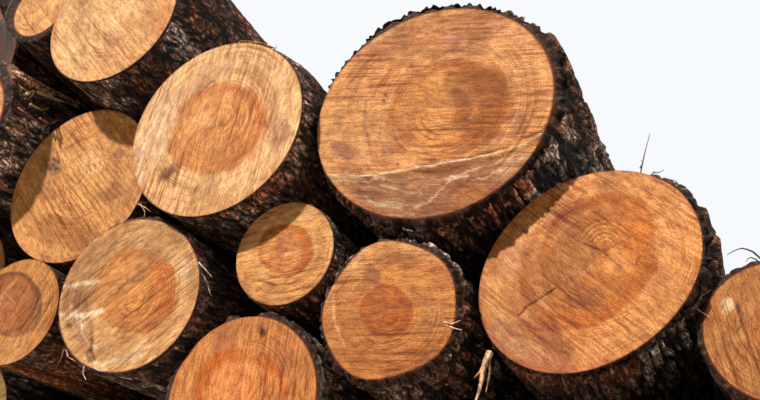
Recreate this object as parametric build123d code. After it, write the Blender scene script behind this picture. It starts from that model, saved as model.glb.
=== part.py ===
# Heap of logs: round sawlogs with their bark on, heaped side by side on a level floor.
# The butts face the front (-Y) and the thin ends the back. X is across the heap, and Z is up.
# Each log is let down on those under it and rolls until it lies in a hollow between them,
# so that the heap settles again when a size changes.
from build123d import *
from dataclasses import dataclass
from math import cos, dist, pi, radians, sin, tan
import os

import numpy as np

# Driving dimensions, in millimetres
LOG_LENGTH = 3000.0
TAPER_PER_METRE = 10.0  # diameter lost for each metre from the butt
SEAT_GAP = 0.4  # between logs that rest on each other

# Felling cut on the largest butt: a lip where the trunk hinged, and a sink that slants back below it
HINGE_DROP = 160.0  # of the lip, below the middle of the butt
HINGE_SLOPE = 2.0  # degrees, rising to the right
SINK_STEP = 8.0
SINK_SLOPE = 4.0  # degrees

# Outlines and settling
SECTION_POINTS = 48  # round a log. An even number
EVENED_OUT = 0.5  # share of the butt's unevenness that is gone at the thin end
ROLL_STEPS = (8.0, 2.0, 0.4, 0.1, 0.02)
CLEARED_AT = np.linspace(0, 1, 21)  # shares of a log's length at which it is kept clear of those below

ANGLES = np.linspace(0, 2 * pi, SECTION_POINTS + 1)


@dataclass
class Log:
    """One log. Its unevenness is in shares of its radius, and its angles are in degrees."""

    name: str
    butt: float  # diameter over the bark, at the front end
    over: str = ""  # the log that it is let down on. None for a log on the floor
    x: float = 0.0  # how far to the right of that log's middle it is let down
    face: float = 0.0  # Y of the butt's sawn face
    gap: float = 0.0  # clear space on the left of a log on the floor
    oval: float = 0.02
    oval_at: float = 0.0
    lobe: float = 0.01
    lobes: int = 3
    lobe_at: float = 90.0
    skew: float = 0.0  # how far the saw cut is turned out of square, about Z
    lean: float = 0.0  # the same, about X
    fan: float = 0.0  # of a log on the floor: how far its thin end lies to the right
    rolls: bool = True  # False where the log stays lodged where it is let down

    @property
    def end(self):
        """Y of the thin end's sawn face."""
        return self.face + LOG_LENGTH

    def outline(self, angle, y):
        """Distance from the log's middle to its bark at an angle round it."""
        even = (self.butt - TAPER_PER_METRE * (y - self.face) / 1000) / 2
        oval = self.oval * np.cos(2 * (angle - radians(self.oval_at)))
        lobe = self.lobe * np.cos(self.lobes * (angle - radians(self.lobe_at)))
        left = 1 - EVENED_OUT * (y - self.face) / LOG_LENGTH
        return even + left * (oval + lobe) * self.butt / 2


# From left to right
FLOOR_ROW = [
    Log("ground_log_1", 560, face=40, oval_at=60, skew=2.0),
    Log("ground_log_2", 500, face=120, oval_at=90, lean=-1.5),
    Log("ground_log_3", 430, face=30, oval_at=100, lobe_at=20, skew=-2.0, lean=1.0),
    Log("ground_log_4", 540, face=150, oval_at=10, lobe=0.015, lean=1.5),
    Log("ground_log_5", 692, face=250, oval=0.0, lobe=0.0),
    Log("ground_log_6", 572, face=150, gap=270, oval=0.0, lobe=0.0),
    Log("ground_log_7", 508, face=120, oval=0.0, lobe=0.0, skew=1.5, fan=100),
    Log("ground_log_8", 640, face=100, oval=0.01, lobe=0.0, lean=2.0, fan=200),
    Log("ground_log_9", 380, face=160, gap=30, oval_at=70, skew=-2.5, fan=250),
]

# Laid one after another on the row on the floor
HEAPED = [
    Log("second_row_log_4", 426, "ground_log_5", 501, 20, oval=0.0, lobe=0.0),
    Log("second_row_log_5", 366, "ground_log_6", -46, 10, oval=0.0, lobe=0.02, lobes=4, lobe_at=40),
    Log("second_row_log_7", 302, "ground_log_7", 210, 30, oval=0.0, lobe=0.0),
    Log("second_row_log_6", 484, "second_row_log_5", 438, 40, oval=0.05, oval_at=35, lobe=0.0,
        skew=-8.0, lean=8.0),
    Log("second_row_log_8", 300, "ground_log_8", 357, 60, oval_at=30, skew=2.0),
    Log("second_row_log_3", 340, "ground_log_4", 209, 100, oval=0.0, lobe=0.0),
    Log("second_row_log_2", 520, "ground_log_3", 159, 60, oval=0.0, lobe=0.0, lean=-1.5),
    Log("second_row_log_1", 540, "ground_log_1", 300, 0, oval_at=45, skew=-1.5),
    Log("third_row_log_4", 436, "second_row_log_4", -329, -10, oval=0.02, oval_at=-26, lobe=0.0),
    Log("third_row_log_5", 278, "second_row_log_4", 95, 20, oval=0.0, lobe=0.0),
    Log("third_row_log_3", 298, "second_row_log_3", 227, 0, oval=0.0, lobe=0.0),
    Log("third_row_log_2", 500, "second_row_log_3", -174, 100, oval=0.0, lobe=0.0),
    Log("third_row_log_1", 480, "second_row_log_2", -400, 30, oval_at=80, lean=1.5),
    Log("third_row_log_6", 616, "second_row_log_5", 124, 0, oval=0.015, oval_at=5, lobe=0.0),
    Log("fourth_row_log_3", 482, "third_row_log_4", -253, 40, oval=0.0, lobe=0.0),
    Log("fourth_row_log_4", 508, "third_row_log_4", 241, -50, oval=0.0, lobe=0.0),
    Log("fourth_row_log_2", 400, "third_row_log_2", 132, -90, oval=0.0, lobe=0.0),
    Log("fourth_row_log_1", 500, "third_row_log_2", -386, 20, oval_at=15, skew=2.0),
    Log("top_log_3", 450, "fourth_row_log_3", 145, -90, oval=0.0, lobe=0.0, rolls=False),
    Log("top_log_2", 180, "fourth_row_log_3", -150, 420, oval=0.0, lobe=0.0),
    Log("top_log_1", 260, "top_log_2", -51, -20, oval=0.0, lobe=0.0, rolls=False),
    Log("top_log_4", 580, "fourth_row_log_2", -300, 90, oval_at=100, lean=-1.0),
    Log("top_log_5", 420, "top_log_4", 150, 30, oval_at=40, skew=1.5),
]

FELLED_BUTT = "third_row_log_6"


@dataclass
class LaidLog:
    """A log in its place, given by X and Z of the middle of its two sawn faces."""

    log: Log
    front: tuple
    back: tuple

    def middle(self, y):
        share = (y - self.log.face) / LOG_LENGTH
        return tuple(a + share * (b - a) for a, b in zip(self.front, self.back))

    def upper_side(self, y):
        """The bark's upper side as X, in rising order, and Z."""
        angle = np.flip(ANGLES[ANGLES <= pi])
        reach = self.log.outline(angle, y) + SEAT_GAP
        x, z = self.middle(y)
        return x + reach * np.cos(angle), z + reach * np.sin(angle)


def rest_height(log, x, y, laid):
    """Lowest height of a log's middle, at x, that is clear of the floor and of the logs laid so far."""
    angle = ANGLES[ANGLES >= pi]
    reach = log.outline(angle, y)
    under_x, under_z = x + reach * np.cos(angle), reach * np.sin(angle)
    height = -under_z.min()
    for other in laid:
        over_x, over_z = other.upper_side(y)
        shared = np.concatenate([under_x, over_x])
        low, high = max(under_x[0], over_x[0]), min(under_x[-1], over_x[-1])
        shared = shared[(shared >= low) & (shared <= high)]
        if shared.size:
            gap = np.interp(shared, over_x, over_z) - np.interp(shared, under_x, under_z)
            height = max(height, gap.max())
    return height


def roll(log, x, y, laid):
    """Follow the slope down from x to the hollow where the log stops."""
    height = rest_height(log, x, y, laid)
    for step in ROLL_STEPS:
        lower = True
        while lower:
            beside = min((rest_height(log, x + way, y, laid), x + way) for way in (-step, step))
            lower = beside[0] < height
            if lower:
                height, x = beside
    return x, height


def let_down(log, laid):
    """Lay a log on the ones below. Its thin end follows the nearest of them, then rolls too."""
    start = next(other for other in laid if other.log.name == log.over).middle(log.face)[0] + log.x
    x, z = roll(log, start, log.face, laid) if log.rolls else (start, rest_height(log, start, log.face, laid))
    nearest = min(laid, key=lambda other: dist(other.middle(log.face), (x, z)))
    back_x, back_z = roll(log, x + nearest.back[0] - nearest.front[0], log.end, laid)
    resting = LaidLog(log, (x, z), (back_x, back_z))
    lift = 0.0
    for y in log.face + CLEARED_AT * LOG_LENGTH:
        middle_x, middle_z = resting.middle(y)
        lift = max(lift, rest_height(log, middle_x, y, laid) - middle_z)
    return LaidLog(log, (x, z + lift), (back_x, back_z + lift))


def beside(log, y, left):
    """Nearest place on the floor for a log that clears the one on its left."""
    on_floor = rest_height(log, 0, y, [])
    near = left.middle(y)[0]
    far = near + left.log.butt + log.butt
    while far - near > ROLL_STEPS[-1]:
        x = (near + far) / 2
        if rest_height(log, x, y, [left]) > on_floor:
            near = x
        else:
            far = x
    return far, on_floor


def floor_row():
    """Set the logs on the floor from left to right. One that fans out has its thin end further right."""
    laid = []
    for log in FLOOR_ROW:
        x, z = beside(log, log.face, laid[-1]) if laid else (0, rest_height(log, 0, log.face, []))
        back_x, back_z = beside(log, log.end, laid[-1]) if laid else (0, rest_height(log, 0, log.end, []))
        x += log.gap
        laid.append(LaidLog(log, (x, z), (max(back_x, x + log.fan), back_z)))
    return laid


def end_outline(laid, y):
    """Round a sawn end. The cut may be out of square."""
    points = []
    for angle in ANGLES[:-1]:
        reach = laid.log.outline(angle, y)
        across, up = reach * cos(angle), reach * sin(angle)
        cut_y = y + across * tan(radians(laid.log.skew)) + up * tan(radians(laid.log.lean))
        x, z = laid.middle(cut_y)
        points.append(Vector(x + across, cut_y, z + up))
    return Wire.make_polygon(points, close=True)


def log_solid(laid):
    return Solid.make_loft([end_outline(laid, laid.log.face), end_outline(laid, laid.log.end)], ruled=True)


def felling_sink(laid):
    """What the felling cut takes off the butt below the hinge."""
    size = 2 * laid.log.butt
    block = Box(size, size, size, align=(Align.CENTER, Align.MAX, Align.MAX))
    x, z = laid.front
    at = Location((x, laid.log.face + SINK_STEP, z - HINGE_DROP))
    return at * Rot(Y=-HINGE_SLOPE) * Rot(X=-SINK_SLOPE) * block


def heap():
    laid = floor_row()
    for log in HEAPED:
        laid.append(let_down(log, laid))
    solids = {one.log.name: log_solid(one) for one in laid}
    felled = next(one for one in laid if one.log.name == FELLED_BUTT)
    solids[FELLED_BUTT] = solids[FELLED_BUTT] - felling_sink(felled)
    return laid, solids


def main():
    laid, solids = heap()
    boxes = [solid.bounding_box() for solid in solids.values()]
    low = [min(tuple(box.min)[axis] for box in boxes) for axis in range(3)]
    high = [max(tuple(box.max)[axis] for box in boxes) for axis in range(3)]
    origin = Pos(-(low[0] + high[0]) / 2, -(low[1] + high[1]) / 2, -low[2])
    os.makedirs("parts", exist_ok=True)
    for name, solid in solids.items():
        export_step(origin * solid, f"parts/{name}.step")
    print("heap", [round(b - a) for a, b in zip(low, high)], "moved by", origin.position)
    for one in laid:
        print(one.log.name, *(round(v) for v in (*one.front, *one.back)))


main()
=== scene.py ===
from dataclasses import dataclass, replace
from math import cos, pi, radians, sin

import bpy
import numpy as np
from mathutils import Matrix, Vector


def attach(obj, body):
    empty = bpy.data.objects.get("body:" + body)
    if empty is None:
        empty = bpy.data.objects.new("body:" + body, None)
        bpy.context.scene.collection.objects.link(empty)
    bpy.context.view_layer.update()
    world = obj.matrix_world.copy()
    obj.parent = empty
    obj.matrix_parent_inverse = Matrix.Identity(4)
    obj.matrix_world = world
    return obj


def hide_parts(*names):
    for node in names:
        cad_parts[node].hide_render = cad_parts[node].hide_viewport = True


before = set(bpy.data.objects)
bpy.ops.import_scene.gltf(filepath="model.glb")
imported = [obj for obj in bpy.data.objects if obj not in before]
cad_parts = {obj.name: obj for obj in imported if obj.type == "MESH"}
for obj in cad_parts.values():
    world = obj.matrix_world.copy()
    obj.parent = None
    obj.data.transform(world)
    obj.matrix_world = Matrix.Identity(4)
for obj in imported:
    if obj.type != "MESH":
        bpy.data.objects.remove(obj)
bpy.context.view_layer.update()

# The camera stands low in front of the heap and looks up to the left.
# Its place is measured from the middle of the felled butt, in metres.
FELLED_BUTT = "third_row_log_6"
CAMERA_FROM_BUTT = (0.589, -1.72, -1.131)
CAMERA_YAW = radians(22.6)
CAMERA_PITCH = radians(26.1)
FOCAL_PIXELS = 900.0
PHOTO_WIDTH, PHOTO_HEIGHT = 760, 400
SENSOR_MM = 36.0
CAMERA_SIGHT = 60  # how far the camera sees, in metres
FLOOR_REACH = 40  # from the heap's middle to the floor's edges, in metres
LEVEL_AHEAD = np.array((-sin(CAMERA_YAW), cos(CAMERA_YAW), 0))
UPRIGHT = np.array((0, 0, 1))
AHEAD = cos(CAMERA_PITCH) * LEVEL_AHEAD + sin(CAMERA_PITCH) * UPRIGHT
RIGHT = np.array((cos(CAMERA_YAW), sin(CAMERA_YAW), 0))
UP = cos(CAMERA_PITCH) * UPRIGHT - sin(CAMERA_PITCH) * LEVEL_AHEAD

# Sawn ends
SAWN_FACING = 0.9  # the CAD's faces that point this much along the log are its sawn ends
FACE_CROWDING = 0.85  # under 1, a sawn face's rings of points stand closer together at its edge
THIN_END_RINGS = 5  # the thin end has one ring of points where the butt has this many
THIN_END_SEED = 50
BARK_RINGS = 4  # rows of faces across the sawn bark
BARK_LUMPS = 110  # lumps of bark round a sawn end
CHIPS = 60  # places round a butt where the bark may be chipped
SHARP_EDGE = radians(48)
RING_STEPS = 8  # straight parts in the arc of a growth ring
SAW_LINES = 14  # drawn on the orange log at the left

# The felling cut. Its lip is a line in the photograph's pixels.
FELLING_LINE = ((318, 172), (345, 178), (390, 172), (443, 163), (504, 151), (530, 140), (556, 124))
METRES_PER_PIXEL = 0.0026  # on the felled butt
SINK_STEP = 0.0045  # depth of the cut below its lip, in metres
SINK_REACH = 8  # pixels below the lip that the step takes
SINK_SLOPE = 0.07  # how much deeper the cut runs for each metre below its lip

# Bark and strands
MARGIN = 0.001  # how far the bark's highest ridges lie inside the CAD log
SIDE_STRAND_BACK = 0.025  # from the saw cut to the front of a strand on a log's side
STRAND_RINGS = 9  # rings of points along a strand
STRAND_SIDES = 4

# Each log's noises and random draws start from a number of its own.
FIRST_SEED = 100
SEED_STEP = 37

# Places in each log's list of materials
ON_WOOD, ON_SIDE, ON_EDGE = range(3)


# Noise

def unit_hash(i, j, seed):
    """A number from 0 to 1 for each cell of a grid."""
    h = (i.astype(np.int64) * 374761393 + j.astype(np.int64) * 668265263 + seed * 974634777) & 0xFFFFFFFF
    h = ((h ^ (h >> 13)) * 1274126177) & 0xFFFFFFFF
    h = ((h ^ (h >> 16)) * 2246822519) & 0xFFFFFFFF
    return ((h ^ (h >> 15)) & 0xFFFFFF) / float(0x1000000)


def smooth_noise(x, y, seed, around=None):
    """Noise from -1 to 1. With around, it repeats after that many cells of x."""
    i, j = np.floor(x), np.floor(y)
    u, v = x - i, y - j
    u, v = u * u * (3 - 2 * u), v * v * (3 - 2 * v)

    def corner(di, dj):
        column = i + di if around is None else np.mod(i + di, around)
        return unit_hash(column, j + dj, seed)

    low = corner(0, 0) * (1 - u) + corner(1, 0) * u
    high = corner(0, 1) * (1 - u) + corner(1, 1) * u
    return 2 * (low * (1 - v) + high * v) - 1


def layered_noise(x, y, seed, layers=3, around=None):
    """Noise in layers, each of them twice as fine and half as strong as the one before."""
    total, size, weight = 0.0, 1, 1.0
    for layer in range(layers):
        wrap = None if around is None else around * size
        total = total + weight * smooth_noise(x * size, y * size, seed + layer, wrap)
        size, weight = size * 2, weight * 0.5
    return total / (2 - 2 * weight)


def ramp(low, high, value):
    """Rise smoothly from 0 at low to 1 at high."""
    t = np.clip((value - low) / (high - low), 0, 1)
    return t * t * (3 - 2 * t)


def mix(a, b, share):
    """Blend two colours, or arrays of colours, by an array of shares."""
    share = np.asarray(share)[..., None]
    return np.asarray(a) * (1 - share) + np.asarray(b) * share


def srgb(red, green, blue):
    """A colour read from 0 to 255, as the linear value that shaders take."""
    shares = (red / 255, green / 255, blue / 255)
    return tuple(((c + 0.055) / 1.055) ** 2.4 if c > 0.04 else c / 12.92 for c in shares)


# Colours of sawn pine, lit plainly
SAP = srgb(224, 166, 110)
SAP_PALE = srgb(238, 192, 138)
SAP_ORANGE = srgb(219, 150, 88)
HEART = srgb(196, 124, 66)
HEART_DARK = srgb(166, 97, 47)
STAIN = srgb(132, 82, 52)
STAIN_PURPLE = srgb(146, 98, 82)
RING_BROWN = srgb(150, 92, 58)
RESIN = srgb(246, 226, 190)
CRACK = srgb(70, 38, 22)
CRACK_SOFT = srgb(128, 74, 42)
PINK = srgb(222, 160, 124)

# Colours of bark
# Near black: partly the furrows' own dark colour and partly painted shade in the bark's recesses; on a saw
# cut it is the outer bark's own dark colour.
FURROW_DARK_AND_SHADE = srgb(26, 20, 17)
BARK_BROWN = srgb(120, 88, 68)
BARK_GREY = srgb(172, 158, 146)
BARK_PURPLE = srgb(126, 90, 84)
BARK_RED = srgb(158, 92, 58)
BARK_PALE = srgb(222, 210, 196)
INNER_BARK = srgb(142, 74, 42)
CUT_BARK = srgb(96, 58, 42)
BARE_WOOD = srgb(196, 138, 88)
# Painted shade: very dark brown for the sawn ends of the logs in the upper left corner, which lie in shade.
END_PAINTED_SHADE = srgb(50, 38, 30)


# The logs' sawn ends in the CAD

@dataclass
class Rim:
    """The edge of one sawn end. Angles run anticlockwise from the right, as seen from the front."""

    middle: np.ndarray
    angle: np.ndarray  # of each point on the rim
    reach: np.ndarray  # from the middle to each of those points
    plane: np.ndarray  # the cut's y at the middle, and how much that grows for each metre across and up

    def at(self, angle):
        """How far the rim lies from the middle at any angle."""
        return np.interp(np.mod(angle + pi, 2 * pi) - pi, self.angle, self.reach, period=2 * pi)

    def cut(self, across, up):
        """The y of the saw cut at places measured from the middle."""
        return self.plane[0] + self.plane[1] * across + self.plane[2] * up


def end_rim(node, front):
    """The rim of a log's butt, or of its thin end where front is false."""
    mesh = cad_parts[node].data
    sawn = [face for face in mesh.polygons if (-1 if front else 1) * face.normal.y > SAWN_FACING]
    points = np.array([mesh.vertices[i].co[:] for i in sorted({i for face in sawn for i in face.vertices})])
    middle = (points.min(axis=0) + points.max(axis=0)) / 2
    away = points - middle
    angle = np.arctan2(away[:, 2], away[:, 0])
    order = np.argsort(angle)
    reach = np.hypot(away[:, 0], away[:, 2])[order]
    table = np.stack([np.ones(len(away)), away[:, 0], away[:, 2]], -1)
    plane = np.linalg.lstsq(table, points[:, 1], rcond=None)[0]
    if node == FELLED_BUTT and front:
        plane = np.array((points[:, 1].min(), 0, 0))
    middle[1] = plane[0]
    return Rim(middle, angle[order], reach, plane)


# The photograph's frame

CAMERA_AT = end_rim(FELLED_BUTT, True).middle + np.array(CAMERA_FROM_BUTT)


def photo_place(points):
    """Where points land in the photograph, in its pixels."""
    away = points - CAMERA_AT
    depth = away @ AHEAD
    across = PHOTO_WIDTH / 2 + FOCAL_PIXELS * (away @ RIGHT) / depth
    down = PHOTO_HEIGHT / 2 - FOCAL_PIXELS * (away @ UP) / depth
    return np.stack([across, down], -1)


def view_ways(across, down):
    """Directions from the camera through pixels of the photograph."""
    across, down = (across - PHOTO_WIDTH / 2) / FOCAL_PIXELS, (PHOTO_HEIGHT / 2 - down) / FOCAL_PIXELS
    return AHEAD + across[..., None] * RIGHT + down[..., None] * UP


def photo_point(across, down, y):
    """The points on upright planes at y that pixels of the photograph show."""
    way = view_ways(across, down)
    return CAMERA_AT + way * ((y - CAMERA_AT[1]) / way[..., 1])[..., None]


def side_point(across, down, middle, radius):
    """Where pixels of the photograph meet a log's side, or pass nearest to it."""
    way = view_ways(across, down)
    flat, to_axis = way[..., [0, 2]], (middle - CAMERA_AT)[[0, 2]]
    length = (flat**2).sum(-1)
    nearest = flat @ to_axis / length
    miss = ((flat * nearest[..., None] - to_axis) ** 2).sum(-1)
    away = nearest - np.sqrt(np.maximum(radius**2 - miss, 0) / length)
    behind = (middle[1] + SIDE_STRAND_BACK - CAMERA_AT[1]) / way[..., 1]
    return CAMERA_AT + way * np.maximum(away, behind)[..., None]


# Marks on the logs. Their places and sizes are pixels of the photograph on the logs that it shows,
# and hundredths of the wood's radius on any other sawn face.

@dataclass
class Line:
    """A drawn line: a crack, a saw line or a run of resin."""

    points: tuple
    width: float
    colour: tuple
    share: float = 0.6
    sink: float = 0.0  # metres into the wood
    wander: float = 3.0  # how far a noise pushes it aside

    def cover(self, place, seed):
        """How much of the line's colour each place takes, from 0 to 1."""
        across, down = place[..., 0] * 0.12, place[..., 1] * 0.12
        x = place[..., 0] + self.wander * layered_noise(across, down, seed, 3)
        y = place[..., 1] + self.wander * layered_noise(across, down, seed + 9, 3)
        nearest = np.full(x.shape, 1e9)
        for (ax, ay), (bx, by) in zip(self.points, self.points[1:]):
            length = (bx - ax) ** 2 + (by - ay) ** 2
            t = np.clip(((x - ax) * (bx - ax) + (y - ay) * (by - ay)) / length, 0, 1)
            nearest = np.minimum(nearest, np.hypot(x - ax - t * (bx - ax), y - ay - t * (by - ay)))
        return 1 - ramp(self.width * 0.35, self.width, nearest)


def ring_lines(centre, radii, start, stop, colour, share):
    """Growth rings that show as arcs round the pith, between two directions in degrees."""
    ways = [radians(start + (stop - start) * step / RING_STEPS) for step in range(RING_STEPS + 1)]
    x, y = centre
    arcs = [tuple((x + radius * cos(way), y - radius * sin(way)) for way in ways) for radius in radii]
    return tuple(Line(arc, 1.1, colour, share, wander=1.2) for arc in arcs)


@dataclass
class Spot:
    """A patch of colour: heartwood, a knot or a stain."""

    middle: tuple
    reach: tuple
    colour: tuple
    share: float = 0.6
    turn: float = 0.0  # degrees, anticlockwise as seen
    soft: float = 0.3  # width of the blurred edge, in shares of the reach
    ragged: float = 0.6  # how far a noise moves the edge, in shares of the reach
    sink: float = 0.0  # metres into the wood

    def cover(self, place, seed):
        """How much of the patch's colour each place takes, from 0 to 1."""
        x, y = place[..., 0] - self.middle[0], place[..., 1] - self.middle[1]
        turn = radians(self.turn)
        u = (x * cos(turn) - y * sin(turn)) / self.reach[0]
        v = (x * sin(turn) + y * cos(turn)) / self.reach[1]
        uneven = self.ragged * layered_noise(place[..., 0] * 0.09, place[..., 1] * 0.09, seed, 4)
        return 1 - ramp(1 - self.soft, 1 + self.soft * 0.3, np.hypot(u, v) + uneven)


@dataclass
class Strand:
    """A twig, a splinter or a torn fibre that stands on a log."""

    points: tuple
    colour: tuple
    thick: float = 0.004  # metres
    back: float = 0.02  # how far behind the saw cut its root stands
    tip: float = 0.0  # how much farther back its tip stands
    flat: bool = False  # it lies on the log's side

    def tube(self, middle, radius):
        """Rings of points round the strand, from its root to its tip."""
        steps = np.linspace(0, 1, STRAND_RINGS)
        knots = np.linspace(0, 1, len(self.points))
        pixels = [np.interp(steps, knots, [point[k] for point in self.points]) for k in (0, 1)]
        line = photo_point(*pixels, middle[1] + self.back + self.tip * steps)
        if self.flat:
            line = side_point(*pixels, middle, radius)
        way = np.gradient(line, axis=0)
        way = way / np.linalg.norm(way, axis=1)[:, None]
        side = np.cross(way, AHEAD)
        side = side / np.linalg.norm(side, axis=1)[:, None]
        lift = np.cross(side, way)
        turn = np.arange(STRAND_SIDES)[None, :, None] * 2 * pi / STRAND_SIDES
        reach = (self.thick / 2 * (1 - 0.75 * steps))[:, None, None]
        return line[:, None] + reach * (side[:, None] * np.cos(turn) + lift[:, None] * np.sin(turn))


def paint(marks, place, colour, seed):
    """Lay the marks on the colours in turn, and give the depth that they are sunk by."""
    sink = np.zeros(colour.shape[:-1])
    for number, mark in enumerate(marks):
        cover = mark.cover(place, seed + 31 * number)
        colour = mix(colour, mark.colour, cover * mark.share)
        sink = np.maximum(sink, cover * mark.sink)
    return colour, sink


# Logs

@dataclass
class Look:
    """How one log is dressed. Lengths are in metres and angles in degrees."""

    wood: float = 0.0  # radius of the wood at the butt, or 0 to take it from the bark's thickness
    bark: float = 0.016  # thickness of the bark where wood is 0
    oval: float = 0.0
    oval_at: float = 0.0
    lobes: tuple = ()  # (how many, share of the radius, where) of each wave round the wood
    plates: str = "scaly"
    bark_light: float = 1.2  # painted light: how much lighter this log's bark is painted than its colours, for light that the lamps don't give its shaded sides
    bare: float = 0.25  # share of the side that has lost its bark
    chipped: float = 0.006  # how far the bark is broken back from the saw cut
    swells: tuple = ()  # thicker bark: (where, how wide, how thick, how far back it starts)
    pith: tuple = (0.0, 0.0)  # pixel of the photograph, or shares of the radius on other logs
    heart: float = 0.5  # radius of the heartwood, in shares of the wood's
    sap: tuple = SAP
    heart_colour: tuple = HEART
    saw: float = 0.0  # direction of the saw marks as seen in the photograph
    around: int = 92  # points round the log
    along: int = 46  # rings of points along its side
    rings: int = 12  # rings of points on its butt
    shown: bool = False  # its sawn face shows in the photograph
    marks: tuple = ()
    side_marks: tuple = ()  # on the bark where it faces the camera
    strands: tuple = ()


@dataclass
class Plates:
    """The plates of one kind of bark, in metres."""

    wide: float
    long: float
    deep: float
    gap: float  # width of the furrows, in shares of a plate
    flakes: float  # height of the ledges that a plate flakes off in


PLATES = {
    "ridged": Plates(0.026, 0.16, 0.019, 0.30, 0.005),
    "chunky": Plates(0.034, 0.055, 0.020, 0.26, 0.005),
    "scaly": Plates(0.024, 0.060, 0.005, 0.22, 0.0025),
    "thin": Plates(0.030, 0.09, 0.0025, 0.16, 0.0015),
}


def bark_relief(plates, arc, y, girth, seed):
    """Depth below the highest ridge, height up a plate, the plate's own number, and height of its flakes."""
    around = 2 * max(4, int(round(girth / plates.wide / 2)))
    u = arc / girth * around
    v = y / plates.long
    v = v + 0.5 * smooth_noise(u * 0.5, v * 0.7, seed + 5, around // 2)
    long_furrows = np.abs(layered_noise(u, v, seed, 4, around))
    cross_furrows = np.abs(layered_noise(u * 0.5, v * 2.1, seed + 17, 4, around // 2)) * 2.2
    raised = ramp(0.01, plates.gap, np.minimum(long_furrows, cross_furrows))
    number = 0.5 + 0.5 * layered_noise(u * 0.5, v * 0.9, seed + 13, 2, around // 2)
    ledges = layered_noise(u, v * 1.6, seed + 31, 4, around)
    flaked = np.floor((ledges + 1) * 2.5) / 5 + 0.12 * ledges
    grain = layered_noise(arc / 0.009, y / 0.030, seed + 11, 3)
    depth = plates.deep * (0.75 * (1 - raised) + 0.25 * number)
    depth = depth + plates.flakes * (1 - flaked) + 0.0012 * (1 + grain)
    return depth, raised, number, flaked


def bark_colour(raised, number, flaked, arc, y, seed):
    """Dark furrows, partly their own colour and partly painted shade in the recesses, and plates of grey,
    brown, purple and red.
    """
    weather = layered_noise(arc / 0.11, y / 0.22, seed + 61, 3)
    fresh = layered_noise(arc / 0.05, y / 0.09, seed + 67, 3)
    plate = mix(BARK_BROWN, BARK_GREY, ramp(-0.25, 0.45, weather + 0.7 * (number - 0.5)))
    plate = mix(plate, BARK_PURPLE, ramp(0.55, 0.75, number) * 0.7)
    plate = mix(plate, BARK_RED, ramp(0.15, 0.5, fresh) * 0.5)
    plate = mix(plate, BARK_PALE, ramp(0.5, 0.8, flaked) * ramp(-0.2, 0.3, weather) * 0.7)
    # Painted shade: the lower the relief and its flakes stand, the nearer the colour comes to the furrows'
    # near black.
    return mix(FURROW_DARK_AND_SHADE, plate, ramp(0.25, 0.95, raised) * (0.65 + 0.35 * flaked))


def wood_outline(look, rim, angle):
    """Radius of the wood under the bark at a sawn end."""
    reach = rim.at(angle)
    shape = 1 + look.oval * np.cos(2 * (angle - radians(look.oval_at)))
    for count, share, where in look.lobes:
        shape = shape + share * np.cos(count * (angle - radians(where)))
    wood = (look.wood or reach.mean() - look.bark) * shape
    return np.minimum(wood, reach - 2 * MARGIN)


def felling_depth(place):
    """How far the felling cut lies behind the saw cut, by the lip's line in the photograph."""
    line = np.array(FELLING_LINE)
    below = place[..., 1] - np.interp(place[..., 0], line[:, 0], line[:, 1])
    depth = SINK_STEP * ramp(0, SINK_REACH, below) + SINK_SLOPE * METRES_PER_PIXEL * below
    return np.where(below > 0, depth, 0)


def sawn_face(name, look, rim, front, angle, seed):
    """Rings of points from near the middle to the wood's edge, with their colours and grain."""
    edge = wood_outline(look, rim, angle)
    radius = edge.mean()
    reach = np.linspace(0, 1, look.rings + 1)[1:, None] ** FACE_CROWDING * edge
    across, up = reach * np.cos(angle), reach * np.sin(angle)
    points = np.stack([rim.middle[0] + across, rim.cut(across, up), rim.middle[2] + up], -1)
    if front and look.shown:
        place = photo_place(points)
        nearest = np.argmin(np.hypot(*np.moveaxis(place - np.array(look.pith), -1, 0)))
        pith = across.ravel()[nearest], up.ravel()[nearest]
        turn = saw_direction(look, points, place)
        marks = look.marks
    else:
        place = np.stack([across, -up], -1) / radius * 100
        pith = look.pith[0] * radius, look.pith[1] * radius
        turn = radians(look.saw)
        marks = plain_marks(seed, pith, radius)
    outer = reach / edge
    ring = np.hypot(across - pith[0], up - pith[1]) * (1 - outer**2) + outer**3 * radius
    ring = ring + 0.005 * layered_noise(across * 14 + 5, up * 14, seed, 3)
    heart = 1 - ramp(look.heart * radius - 0.010, look.heart * radius + 0.004, ring)
    colour, sink = paint(marks, place, mix(look.sap, look.heart_colour, heart), seed)
    colour = weathered(colour, across, up, ring, angle, seed)
    colour = mix(colour, INNER_BARK, 0.75 * ramp(0.984, 1, outer))
    along_saw = across * cos(turn) + up * sin(turn)
    over_saw = up * cos(turn) - across * sin(turn)
    sink = sink + 0.0006 * (1 + layered_noise(along_saw * 5, over_saw / 0.011, seed + 15, 2))
    if name == FELLED_BUTT and front:
        sink = sink + felling_depth(place)
    points[..., 1] += sink if front else -sink
    return points, colour, np.stack([along_saw, over_saw, ring], -1)


def weathered(colour, across, up, ring, angle, seed):
    """Bands that follow the growth rings here and there, brown patches and an uneven tone."""
    bands = layered_noise(angle / (2 * pi) * 5, ring * 42, seed + 21, 3, 5)
    banded = ramp(-0.35, 0.35, layered_noise(across * 5, up * 5 + 4, seed + 23, 2))
    colour = mix(colour, RING_BROWN, 0.34 * ramp(0.05, 0.5, bands) * banded)
    colour = mix(colour, SAP_PALE, 0.26 * ramp(0.05, 0.5, -bands) * banded)
    patchy = layered_noise(across * 16, up * 16 + 2, seed + 3, 3)
    colour = mix(colour, RING_BROWN, 0.26 * ramp(0.1, 0.6, patchy))
    broad = layered_noise(across * 8 + 9, up * 8, seed + 6, 2)
    fine = layered_noise(across * 34, up * 34, seed + 7, 2)
    tone = 0.16 * broad + 0.14 * fine
    return colour * (1 + tone)[..., None]


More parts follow.
